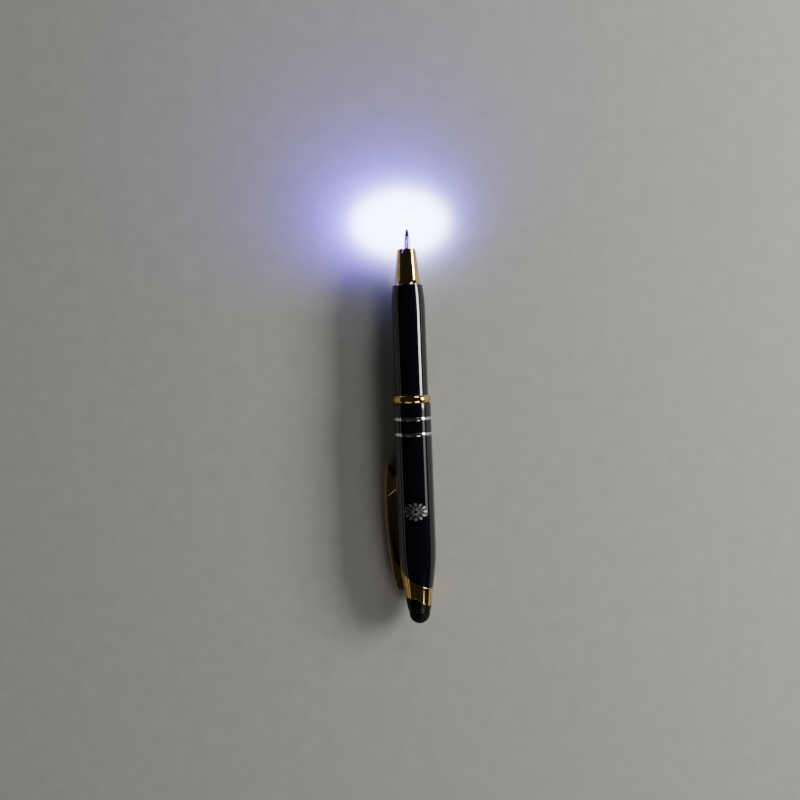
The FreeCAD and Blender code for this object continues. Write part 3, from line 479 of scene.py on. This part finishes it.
def tail_station(across):
    """The end cap's rear edge: level on the clip side, then rounded, then falling."""
    if across >= TAIL_KNEE:
        return TAIL_FLAT
    if across >= TAIL_BEND:
        return TAIL_FLAT - TAIL_ROUND + math.sqrt(TAIL_ROUND**2 - (across - TAIL_KNEE) ** 2)
    knee = TAIL_FLAT - TAIL_ROUND + math.sqrt(TAIL_ROUND**2 - (TAIL_BEND - TAIL_KNEE) ** 2)
    return knee + (across - TAIL_BEND) * TAIL_SLOPE


def follow(radius, station, angle, line, low, high):
    """Moves a point of the skin or of an end face so that it keeps its place between two edges.

    low and high give the edges' stations from the distance across, or from None the stations at
    which the outline draws them. line gives the skin's radius.
    """
    depth = line(station) - radius
    on_skin = depth < SKIN_DEPTH
    share = (station - low(None)) / (high(None) - low(None))
    reach = radius
    for _ in range(SETTLING_ROUNDS):
        across = reach * math.cos(angle)
        along = low(across) + share * (high(across) - low(across))
        if on_skin:
            reach = line(along) - depth
    return reach, along


def edge_at(plain, curve):
    """An edge that stands at a plain station in the outline and follows a curve on the pen."""
    return lambda across: plain if across is None else curve(across)


def fixed(station):
    """An edge that is level all round the pen."""
    return lambda across: station


barrel_rear = edge_at(JOINT_MIDDLE, joint_station)


def barrel_bend(radius, station, angle):
    """Slants the barrel's rear edge with the skin before it; the bore stays as drawn."""
    if station >= TURN_STATION or (radius <= UPPER_BORE and station > JOINT_MIDDLE + EDGE):
        return radius, station
    return follow(radius, station, angle, skin, barrel_rear, fixed(TURN_STATION))


def taper(start, end, steps):
    """Points on the skin between two stations."""
    rows = [start + (end - start) * step / steps for step in range(1, steps)]
    return [(skin(row), row) for row in rows]


trim_grooves = []
for rear in (TRIM_REAR, TRIM_REAR - TRIM_STEP):
    front = rear + TRIM_FRONT - TRIM_REAR
    trim_grooves += [
        (UPPER_RADIUS, front, 0.05),
        (TRIM_SEAT, front),
        (TRIM_SEAT, rear),
        (UPPER_RADIUS, rear, 0.05),
    ]
upper = lathe(
    "upper_barrel_shell",
    rounded(
        [
            (UPPER_BORE, UPPER_FRONT),
            (UPPER_RADIUS, UPPER_FRONT, 0.1),
            *trim_grooves,
            (UPPER_RADIUS, TURN_STATION),
            *taper(TURN_STATION, JOINT_MIDDLE, 16),
            (skin(JOINT_MIDDLE), JOINT_MIDDLE, EDGE),
            (REAR_BORE, JOINT_MIDDLE),
            (REAR_BORE, UPPER_STEP),
            (UPPER_BORE, UPPER_STEP),
        ]
    ),
    barrel_bend,
)
finished(upper, "upper", "black_lacquer", black_lacquer, "upper_barrel")

TRIM_EDGE, TRIM_BULGE = 6.6, 1.6
for name, step in (("trim_ring_front", 0.0), ("trim_ring_rear", TRIM_STEP)):
    ends = (TRIM_EDGE, TRIM_REAR - step), (TRIM_EDGE, TRIM_FRONT - step)
    trim = lathe(
        name + "_band",
        rounded(
            [
                (TRIM_SEAT, TRIM_REAR - step),
                (*ends[0], 0.04),
                *bow(*ends, TRIM_BULGE, 1, steps=8),
                (*ends[1], 0.04),
                (TRIM_SEAT, TRIM_FRONT - step),
            ]
        ),
    )
    finished(trim, "upper", "chrome_trim", chrome_trim, name)

# End cap: gold, between the slanted joint and the curved rear edge.
TAIL_PLAIN = 9.0
CAP_SPIGOT, CAP_SPIGOT_END = 4.38, 27.0
CAP_BORE, CAP_BORE_END = 3.45, 10.9
cap_tail = edge_at(TAIL_PLAIN, tail_station)
cap_joint = edge_at(JOINT_MIDDLE, joint_station)


def cap_bend(radius, station, angle):
    """Slants the cap's front edge and curves its rear edge; spigot and bore stay as drawn."""
    if station > JOINT_MIDDLE + EDGE or (radius <= CAP_BORE and station > TAIL_PLAIN + EDGE):
        return radius, station
    return follow(radius, station, angle, skin, cap_tail, cap_joint)


cap = lathe(
    "end_cap_shell",
    rounded(
        [
            (0, CAP_SPIGOT_END),
            (CAP_SPIGOT, CAP_SPIGOT_END, 0.1),
            (CAP_SPIGOT, JOINT_MIDDLE),
            (skin(JOINT_MIDDLE), JOINT_MIDDLE, EDGE),
            *taper(JOINT_MIDDLE, TAIL_PLAIN, 14),
            (skin(TAIL_PLAIN), TAIL_PLAIN, EDGE),
            (CAP_BORE, TAIL_PLAIN),
            (CAP_BORE, CAP_BORE_END),
            (0, CAP_BORE_END),
        ]
    ),
    cap_bend,
)


BOX_FACES = (0, 1, 3, 2), (4, 5, 7, 6), (0, 1, 5, 4), (2, 3, 7, 6), (0, 2, 6, 4), (1, 3, 7, 5)


def cut_box(thing, across, beside, along):
    """Cuts a box out of a piece; each pair is the low and the high side."""
    mesh = bmesh.new()
    corners = [mesh.verts.new(place(x, y, z)) for z in along for y in beside for x in across]
    for face in BOX_FACES:
        mesh.faces.new([corners[number] for number in face])
    cutter = built("cutter", mesh)
    cut = thing.modifiers.new("slot", "BOOLEAN")
    cut.operation = "DIFFERENCE"
    cut.solver = "EXACT"
    cut.object = cutter
    bpy.context.view_layer.update()
    seen = thing.evaluated_get(bpy.context.evaluated_depsgraph_get())
    data = bpy.data.meshes.new_from_object(seen)
    thing.modifiers.clear()
    thing.data = data
    data.set_sharp_from_angle(angle=SHARP_EDGE)
    bpy.data.objects.remove(cutter)


SLOT_HALF, SLOT_ENDS, SLOT_DEPTH = 2.0, (11.2, 16.8), (3.65, 7.0)
cut_box(cap, SLOT_DEPTH, (-SLOT_HALF, SLOT_HALF), SLOT_ENDS)
finished(cap, "upper", "gold_plate", gold_plate, "end_cap")

# Stylus: a satin collar and a rubber dome.
COLLAR_PLAIN, COLLAR_REAR, COLLAR_END = 8.0, 4.3, 3.78
collar_line = (COLLAR_END, COLLAR_REAR), (4.25, 6.2), (4.88, 10.8)


def collar_skin(station):
    """Outer radius of the stylus collar."""
    low, middle, high = collar_line
    first, last = (low, middle) if station < middle[1] else (middle, high)
    share = (station - first[1]) / (last[1] - first[1])
    return first[0] + share * (last[0] - first[0])


collar_front = edge_at(COLLAR_PLAIN, tail_station)
STYLUS_SPIGOT, STYLUS_SPIGOT_END = 3.4, 10.8
PEG, PEG_END, CORE, CORE_END = 2.58, 3.2, 0.8, 10.0


def collar_bend(radius, station, angle):
    """Curves the collar's front edge; its spigot, its peg and its hole stay as drawn."""
    if radius <= STYLUS_SPIGOT and station > COLLAR_PLAIN + EDGE:
        return radius, station
    if station <= COLLAR_REAR + EDGE or radius < PEG + EDGE:
        return radius, station
    return follow(radius, station, angle, collar_skin, fixed(COLLAR_REAR), collar_front)


COLLAR_ROW, COLLAR_ROWS = 0.3, 11
collar_rows = [COLLAR_PLAIN - COLLAR_ROW * step for step in range(1, COLLAR_ROWS + 1)]
collar = lathe(
    "stylus_collar_shell",
    rounded(
        [
            (0, STYLUS_SPIGOT_END),
            (STYLUS_SPIGOT, STYLUS_SPIGOT_END),
            (STYLUS_SPIGOT, COLLAR_PLAIN),
            (collar_skin(COLLAR_PLAIN), COLLAR_PLAIN, 0.08),
            *[(collar_skin(row), row) for row in collar_rows],
            (COLLAR_END, COLLAR_REAR, 0.16),
            (PEG, COLLAR_REAR),
            (PEG, PEG_END),
            (CORE, PEG_END),
            (CORE, CORE_END),
            (0, CORE_END),
        ]
    ),
    collar_bend,
)
finished(collar, "upper", "satin_black", satin_black, "stylus_collar")

DOME, DOME_NECK, DOME_BORE, DOME_SKIN = 3.6, 3.3, 2.6, 1.0
NECK_REAR, DOME_START = COLLAR_REAR - 0.25, COLLAR_REAR - 0.4
dome = lathe(
    "stylus_dome_skin",
    rounded(
        [
            (PEG, COLLAR_REAR),
            (DOME_NECK, COLLAR_REAR),
            (DOME_NECK, NECK_REAR, 0.08),
            (DOME, DOME_START, 0.1),
            (DOME, DOME),
            *bow((DOME, DOME), (0, 0), DOME, -1, steps=20),
            (0, 0),
            (0, DOME_SKIN),
            *bow((0, DOME_SKIN), (DOME_BORE, DOME), DOME_BORE, 1, steps=12),
            (PEG, DOME),
        ]
    ),
)
finished(dome, "upper", "silicone", silicone, "stylus_dome")

# ---------------------------------------------------------------- clip

CLIP_HALF, CLIP_ROUND = 1.8, 0.34
FINE_ROUND, ROUND_GROWTH, MITRE_LIMIT = 0.1, 0.1, 0.5
TIP_START, TIP_END, TIP_HALF = 50.8, 56.5, 0.62
# The clip seen from the side, as (distance from the axis, station).
HEEL_REAR, TONGUE_BOTTOM, TONGUE_FRONT, PAD = 11.6, 3.95, 16.3, 6.66
outer_tip, outer_bend, outer_rear = (10.15, TIP_END), (11.1, 42.0), (9.25, 18.1)
heel, heel_end = (8.1, 12.9), (6.9, HEEL_REAR)
neck, inner_rear, inner_front = (5.9, TONGUE_FRONT), (8.4, 22.5), (9.65, 42.0)
pad_rear, pad_front, inner_tip = (PAD, 47.4), (PAD, 51.5), (9.75, 56.25)
OUTER_FRONT_BOW, OUTER_REAR_BOW, INNER_BOW = 111.2, 155.4, 152.8
HEEL_BOW, NECK_BOW, TIP_BOW = 1.3, 14.0, 6.6
clip_outline = rounded(
    [
        (*outer_tip, 0.12),
        *bow(outer_tip, outer_bend, OUTER_FRONT_BOW, -1, steps=16),
        outer_bend,
        *bow(outer_bend, outer_rear, OUTER_REAR_BOW, -1, steps=16),
        outer_rear,
        heel,
        *bow(heel, heel_end, HEEL_BOW, -1, steps=6),
        heel_end,
        (TONGUE_BOTTOM, HEEL_REAR, 0.1),
        (TONGUE_BOTTOM, TONGUE_FRONT, 0.1),
        neck,
        *bow(neck, inner_rear, NECK_BOW, -1, steps=10),
        inner_rear,
        *bow(inner_rear, inner_front, INNER_BOW, 1, steps=12),
        inner_front,
        (inner_front[0], 45.0, 0.8),
        (*pad_rear, 0.5),
        pad_front,
        *bow(pad_front, inner_tip, TIP_BOW, 1, steps=10),
        inner_tip,
    ]
)


def clip_half_width(station):
    """Half the clip's width, which narrows in a curve to its tip."""
    share = min(max((station - TIP_START) / (TIP_END - TIP_START), 0), 1)
    return TIP_HALF + (CLIP_HALF - TIP_HALF) * math.sqrt(1 - share**2)


def inward_steps(outline):
    """For every point, the move that brings both of its edges 1 mm inward."""
    steps = []
    for number, point in enumerate(outline):
        here = Vector(point)
        before = (here - Vector(outline[number - 1])).normalized()
        after = (Vector(outline[(number + 1) % len(outline)]) - here).normalized()
        inward = Vector((before.y, -before.x)) + Vector((after.y, -after.x))
        steps.append(inward / max(1 + before.dot(after), MITRE_LIMIT))
    return steps


def clip_rounding(station):
    """Rounding of the clip's edges, finer at its thin tip."""
    return min(CLIP_ROUND, FINE_ROUND + (TIP_END - station) * ROUND_GROWTH)


def strip(name, outline, half_width, rounding, steps=4):
    """A strip with this side view, rounded along both of its faces."""
    levels = [(1 + SUPPORT, 0.0)]
    for step in range(steps + 1):
        angle = QUARTER_TURN * step / steps
        levels.append((1 - math.sin(angle), 1 - math.cos(angle)))
    levels.append((0.0, 1 + SUPPORT))
    mesh = bmesh.new()
    rings = []
    for sign, rows in ((1, levels), (-1, levels[::-1])):
        for depth, drop in rows:
            ring = []
            for point, inward in zip(outline, inward_steps(outline)):
                size = rounding(point[1])
                spot = Vector(point) + inward * depth * size
                beside = sign * (half_width(point[1]) - drop * size)
                ring.append(mesh.verts.new(place(spot.x, beside, spot.y)))
            rings.append(ring)
    join_rings(mesh, rings, closed=False)
    mesh.faces.new(rings[0])
    mesh.faces.new(rings[-1])
    return built(name, mesh)


clip = strip("clip_strip", clip_outline, clip_half_width, clip_rounding)
finished(clip, "clip", "gold_plate", clip_gold, "clip")

# ---------------------------------------------------------------- ornament on the barrel

EMBLEM_STATION, EMBLEM_TURN, EMBLEM_LIFT = 40.8, math.radians(115.5), 0.02
EMBLEM_WIDE, EMBLEM_HIGH = 1.15, 0.86
OUTER_PETALS, INNER_PETALS = 12, 8


def on_barrel(around, along):
    """A point on the upper barrel's surface, from the middle of the ornament."""
    reach = UPPER_RADIUS + EMBLEM_LIFT
    angle = EMBLEM_TURN + around * EMBLEM_WIDE / UPPER_RADIUS
    station = EMBLEM_STATION + along * EMBLEM_HIGH
    return place(reach * math.cos(angle), reach * math.sin(angle), station)


def leaf(mesh, angle, inner, outer, half_wide, steps=8):
    """A round petal that runs outward from the middle of the ornament."""
    rows = []
    for step in range(steps + 1):
        share = step / steps
        reach = inner + (outer - inner) * share
        wide = half_wide * math.sqrt(math.sin(math.pi * share))
        sides = (-wide, 0.0, wide) if 0 < step < steps else (0.0,)
        rows.append(
            [
                mesh.verts.new(
                    on_barrel(
                        reach * math.sin(angle) + side * math.cos(angle),
                        reach * math.cos(angle) - side * math.sin(angle),
                    )
                )
                for side in sides
            ]
        )
    for row, beyond in zip(rows, rows[1:]):
        for left in range(max(len(row), len(beyond)) - 1):
            last = left + 1
            corners = [
                row[min(left, len(row) - 1)],
                row[min(last, len(row) - 1)],
                beyond[min(last, len(beyond) - 1)],
                beyond[min(left, len(beyond) - 1)],
            ]
            mesh.faces.new(list(dict.fromkeys(corners)))


def band(mesh, inner, outer, steps=48):
    """A flat ring round the middle of the ornament."""
    rings = [
        [
            mesh.verts.new(
                on_barrel(
                    reach * math.sin(FULL_TURN * step / steps),
                    reach * math.cos(FULL_TURN * step / steps),
                )
            )
            for step in range(steps)
        ]
        for reach in (inner, outer)
    ]
    join_rings(mesh, rings, closed=False)


OUTER_FROM, OUTER_TO, OUTER_WIDE = 2.3, 3.7, 0.52
INNER_FROM, INNER_TO, INNER_WIDE = 0.45, 1.75, 0.36
BAND_FROM, BAND_TO = 1.95, 2.15
mesh = bmesh.new()
for number in range(OUTER_PETALS):
    leaf(mesh, FULL_TURN * number / OUTER_PETALS, OUTER_FROM, OUTER_TO, OUTER_WIDE)
for number in range(INNER_PETALS):
    leaf(mesh, FULL_TURN * (number + 0.5) / INNER_PETALS, INNER_FROM, INNER_TO, INNER_WIDE)
band(mesh, BAND_FROM, BAND_TO)
emblem = built("barrel_rosette", mesh)
foil = Finish("foil_print", (0.48, 0.49, 0.49), metallic=0.85)
foil.colours(foil.noise(1.1), (0.56, 0.57, 0.56), (0.26, 0.27, 0.27))
foil.roughness(foil.noise(0.25), 0.25, 0.5)
finished(emblem, "upper", "chrome_trim", foil.relief(foil.noise(0.12), 0.003).material)

# ---------------------------------------------------------------- refill point and return spring

tube_low, tube_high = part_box("refill_tube")
tip_aside = (tube_low.x + tube_high.x) / 2 - axis_x
PLUG, PLUG_REAR, PLUG_FRONT, CHANNEL = 0.85, 130.2, 132.6, 0.30
TUBE, TUBE_FRONT = 1.15, 134.2
SHOULDER, SHOULDER_STATION = 0.80, 135.6
POINT_END, POINT, BALL_SEAT, BALL_SEAT_REAR = 137.75, 0.42, 0.33, 137.3
point = lathe(
    "refill_point",
    rounded(
        [
            (CHANNEL, PLUG_REAR),
            (PLUG, PLUG_REAR),
            (PLUG, PLUG_FRONT),
            (TUBE, PLUG_FRONT, 0.04),
            (TUBE, TUBE_FRONT, 0.15),
            (SHOULDER, SHOULDER_STATION, 0.15),
            (POINT, POINT_END, 0.03),
            (BALL_SEAT, POINT_END),
            (BALL_SEAT, BALL_SEAT_REAR),
            (CHANNEL, BALL_SEAT_REAR),
        ]
    ),
)
# A film over the last of the point, coloured dark violet: painted shade with a painted violet
# reflection of the lamp's glow.
film_rear, film_swell, film_shoulder = (0.86, 135.3), (0.88, 135.5), (0.83, 135.65)
FILM_OUTSIDE, FILM_INSIDE = 0.47, 0.44
shade_film = lathe(
    "painted_shade_film",
    rounded(
        [
            film_rear,
            (*film_swell, 0.1),
            (*film_shoulder, 0.1),
            (FILM_OUTSIDE, POINT_END),
            (FILM_INSIDE, POINT_END),
        ]
    ),
)
for thing in (point, shade_film):
    for vertex in thing.data.vertices:
        vertex.co.x += tip_aside
finished(point, "refill", "nickel_silver", nickel, "refill_tip")
# The film of painted shade and painted violet reflection goes into the ink slot.
finished(shade_film, "refill", "ink", painted_violet_shade)


def coil(name, mean, wire, turns, start, end, sides=12, steps=36):
    """A spring of round wire between two stations."""
    mesh = bmesh.new()
    rings = []
    rise = (end - start) / turns
    for step in range(round(turns * steps) + 1):
        angle = FULL_TURN * step / steps
        station = start + rise * step / steps
        outward = Vector((math.cos(angle), math.sin(angle)))
        ring = []
        for side in range(sides):
            lean = FULL_TURN * side / sides
            reach = mean + wire * math.cos(lean)
            spot = place(reach * outward.x, reach * outward.y, station + wire * math.sin(lean))
            ring.append(mesh.verts.new(spot))
        rings.append(ring)
    join_rings(mesh, rings, closed=False)
    mesh.faces.new(rings[0])
    mesh.faces.new(rings[-1])
    return built(name, mesh)


SPRING_FRONT, SPRING_REAR = 90.8, 75.2
SPRING_RADIUS, SPRING_WIRE, SPRING_TURNS = 2.0, 0.2, 10
spring = coil(
    "return_spring_wire", SPRING_RADIUS, SPRING_WIRE, SPRING_TURNS, SPRING_REAR, SPRING_FRONT
)
spring.data.materials.clear()
spring.data.materials.append(spring_steel)
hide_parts("return_spring")
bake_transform(spring)

# ---------------------------------------------------------------- the CAD pieces that stay

KEPT = {
    "light_guide": clear_acrylic,
    "uv_lamp": lamp_epoxy,
    "lamp_leads": tinned_wire,
    "lamp_board": board_green,
    "lamp_resistor": chip_ceramic,
    "lower_liner": white_plastic,
    "guide_sleeve": raw_brass,
    "contact_strips": nickel,
    "contact_disc": board_green,
    "writing_ball": carbide,
    "refill_tube": refill_steel,
    "refill_ink": ink,
    "ink_follower": grease,
    "refill_carrier": black_plastic,
    "cam_pin": spring_steel,
    "rotor_tube": raw_brass,
    "rotor_coupler": raw_brass,
    "friction_ring": nitrile,
    "snap_ring": spring_steel,
    "rotor_bush": black_plastic,
    "battery_tray": black_plastic,
    "contact_holder": black_plastic,
    "contact_wiper": nickel,
    "button_cell_front": cell_steel,
    "button_cell_middle": cell_steel,
    "button_cell_rear": cell_steel,
    "battery_spring": spring_steel,
    "stylus_core": raw_brass,
}
for name, material in KEPT.items():
    frame["nodes"][name].data.materials.clear()
    frame["nodes"][name].data.materials.append(material)

# ---------------------------------------------------------------- table, light and camera

FLOOR_HALF = 3.0
FLOOR_CORNERS = (-1, -1), (1, -1), (1, 1), (-1, 1)
floor_mesh = bmesh.new()
floor_mesh.faces.new(
    [floor_mesh.verts.new((x * FLOOR_HALF, y * FLOOR_HALF, 0)) for x, y in FLOOR_CORNERS]
)
floor = built("table_top", floor_mesh)
paper = Finish("pale_paper", (0.50, 0.50, 0.48))
paper.colours(paper.noise(6.0), (0.525, 0.52, 0.50), (0.48, 0.48, 0.46))
paper.roughness(paper.noise(2.0), 0.8, 0.95)
floor.data.materials.append(paper.relief(paper.noise(0.9), 0.03).material)


def area_light(name, spot, target, size, power, colour):
    """A soft rectangular light, size (along the pen, up), aimed at a point."""
    lamp = bpy.data.lights.new(name, "AREA")
    lamp.shape = "RECTANGLE"
    lamp.size, lamp.size_y = size
    lamp.energy = power
    lamp.color = colour
    thing = bpy.data.objects.new(name, lamp)
    thing.location = spot
    thing.rotation_euler = (Vector(target) - Vector(spot)).to_track_quat("-Z", "Y").to_euler()
    bpy.context.scene.collection.objects.link(thing)
    return thing


WINDOW_TONE, FAR_TONE = (1.0, 0.98, 0.93), (1.0, 0.90, 0.78)
# name, place, aim, size along and up, power in watts, colour
ROOM_LIGHTS = (
    ("window", (0.62, 0.165, 0.25), (0, 0.165, 0.01), (0.40, 0.17), 5.4, WINDOW_TONE),
    ("window_edge", (0.62, -0.10, 0.25), (0, -0.10, 0.01), (0.13, 0.17), 0.15, WINDOW_TONE),
    ("rear_soft", (0.50, -0.80, 0.60), (0, 0, 0), (0.4, 0.3), 3.0, WINDOW_TONE),
    ("front_soft", (0.45, 0.90, 0.50), (0, 0, 0), (0.4, 0.3), 1.6, WINDOW_TONE),
    ("rear_fill", (-0.35, -0.95, 0.60), (0, 0, 0), (0.7, 0.5), 0.6, WINDOW_TONE),
    ("far_window", (-0.7, -0.05, 0.12), (0, 0, 0.01), (0.9, 0.09), 0.12, FAR_TONE),
)
for light in ROOM_LIGHTS:
    area_light(*light)

# The lamp's glow on the paper in front of the nose: a white oval, a violet rim, and a haze.
CORE_TONE, GLOW_TONE = (0.72, 0.92, 1.0), (0.10, 0.0, 1.0)
GLOW_LIGHTS = (
    ("glow_core", (0.0002, 0.0722, 0.003), (0.0002, 0.0722, 0), (0.033, 0.022), 0.034, CORE_TONE),
    ("glow_halo", (-0.002, 0.0735, 0.008), (-0.002, 0.0745, 0), (0.044, 0.028), 0.030, GLOW_TONE),
    ("glow_haze", (-0.006, 0.067, 0.022), (-0.014, 0.098, 0), (0.030, 0.010), 0.026, GLOW_TONE),
)
for light in GLOW_LIGHTS:
    glow = area_light(*light)
    glow.data.shape = "ELLIPSE"
    glow.visible_camera = False

ROOM_COLOUR, ROOM_STRENGTH = (1.0, 0.91, 0.82, 1), 0.018
world = bpy.data.worlds.new("studio")
world.use_nodes = True
background = world.node_tree.nodes["Background"]
background.inputs["Color"].default_value = ROOM_COLOUR
background.inputs["Strength"].default_value = ROOM_STRENGTH
bpy.context.scene.world = world

# The camera stands over the front half of the pen and looks a little back along it.
CAMERA_SPOT = Vector((-0.00214, 0.02509, 0.28518))
AIM_BACK, AIM_DOWN = 15.0, 278.8  # from the camera to where it looks
CAMERA_TILT, CAMERA_ROLL = math.atan(AIM_BACK / AIM_DOWN), math.radians(2.2)
LENS, SENSOR, NEAREST = 36.0, 36.0, 0.01
camera_data = bpy.data.cameras.new("camera")
camera_data.lens = LENS
camera_data.sensor_width = SENSOR
camera_data.clip_start = NEAREST
camera = bpy.data.objects.new("camera", camera_data)
camera.matrix_world = (
    Matrix.Translation(CAMERA_SPOT)
    @ Matrix.Rotation(-CAMERA_TILT, 4, "X")
    @ Matrix.Rotation(-CAMERA_ROLL, 4, "Z")
)
bpy.context.scene.collection.objects.link(camera)
bpy.context.scene.camera = camera
